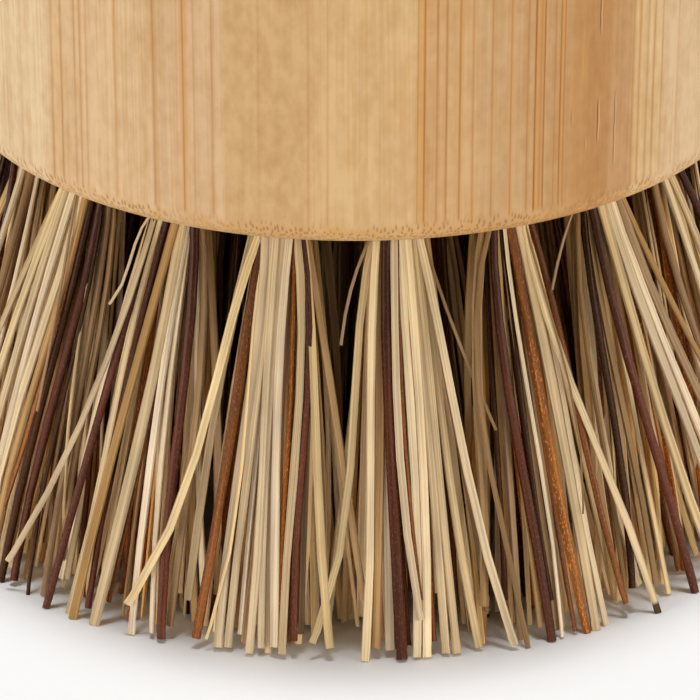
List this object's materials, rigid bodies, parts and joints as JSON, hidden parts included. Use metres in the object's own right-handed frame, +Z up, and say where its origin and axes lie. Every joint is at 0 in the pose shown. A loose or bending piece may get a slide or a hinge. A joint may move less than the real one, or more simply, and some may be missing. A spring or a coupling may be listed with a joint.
{
  "type": "round pot brush",
  "caption": "Round hand brush with a turned bamboo knob handle and flared tufts of natural plant fibre, for scrubbing pots and pans.",
  "frame": {"origin": "on the brush's axis, on the surface that the bristle tips stand on", "axes": "+Z up along the brush's axis, from the bristle tips to the knob; -Y is the side that the picture shows"},
  "size_m": [0.0592, 0.0595, 0.075],
  "materials": {
    "bamboo": "sanded laminated bamboo, satin, with fine darker fibre lines",
    "union_fibre": "mixed cream, tan, red-brown and dark plant fibres, slightly waxy",
    "anchor_steel": "cut flat wire, hidden in the holes"
  },
  "bodies": {
    "root": {"bamboo_body": "bamboo", "tuft_outer_01": "union_fibre", "tuft_outer_02": "union_fibre", "tuft_outer_03": "union_fibre", "tuft_outer_04": "union_fibre", "tuft_outer_05": "union_fibre", "tuft_outer_06": "union_fibre", "tuft_outer_07": "union_fibre", "tuft_outer_08": "union_fibre", "tuft_outer_09": "union_fibre", "tuft_outer_10": "union_fibre", "tuft_outer_11": "union_fibre", "tuft_outer_12": "union_fibre", "tuft_outer_13": "union_fibre", "tuft_outer_14": "union_fibre", "tuft_outer_15": "union_fibre", "tuft_outer_16": "union_fibre", "tuft_outer_17": "union_fibre", "tuft_outer_18": "union_fibre", "tuft_outer_19": "union_fibre", "tuft_outer_20": "union_fibre", "tuft_middle_01": "union_fibre", "tuft_middle_02": "union_fibre", "tuft_middle_03": "union_fibre", "tuft_middle_04": "union_fibre", "tuft_middle_05": "union_fibre", "tuft_middle_06": "union_fibre", "tuft_middle_07": "union_fibre", "tuft_middle_08": "union_fibre", "tuft_middle_09": "union_fibre", "tuft_middle_10": "union_fibre", "tuft_middle_11": "union_fibre", "tuft_middle_12": "union_fibre", "tuft_inner_01": "union_fibre", "tuft_inner_02": "union_fibre", "tuft_inner_03": "union_fibre", "tuft_inner_04": "union_fibre", "tuft_inner_05": "union_fibre", "tuft_inner_06": "union_fibre", "tuft_centre": "union_fibre", "anchor_outer_01": "anchor_steel", "anchor_outer_02": "anchor_steel", "anchor_outer_03": "anchor_steel", "anchor_outer_04": "anchor_steel", "anchor_outer_05": "anchor_steel", "anchor_outer_06": "anchor_steel", "anchor_outer_07": "anchor_steel", "anchor_outer_08": "anchor_steel", "anchor_outer_09": "anchor_steel", "anchor_outer_10": "anchor_steel", "anchor_outer_11": "anchor_steel", "anchor_outer_12": "anchor_steel", "anchor_outer_13": "anchor_steel", "anchor_outer_14": "anchor_steel", "anchor_outer_15": "anchor_steel", "anchor_outer_16": "anchor_steel", "anchor_outer_17": "anchor_steel", "anchor_outer_18": "anchor_steel", "anchor_outer_19": "anchor_steel", "anchor_outer_20": "anchor_steel"}
  },
  "joints": []
}
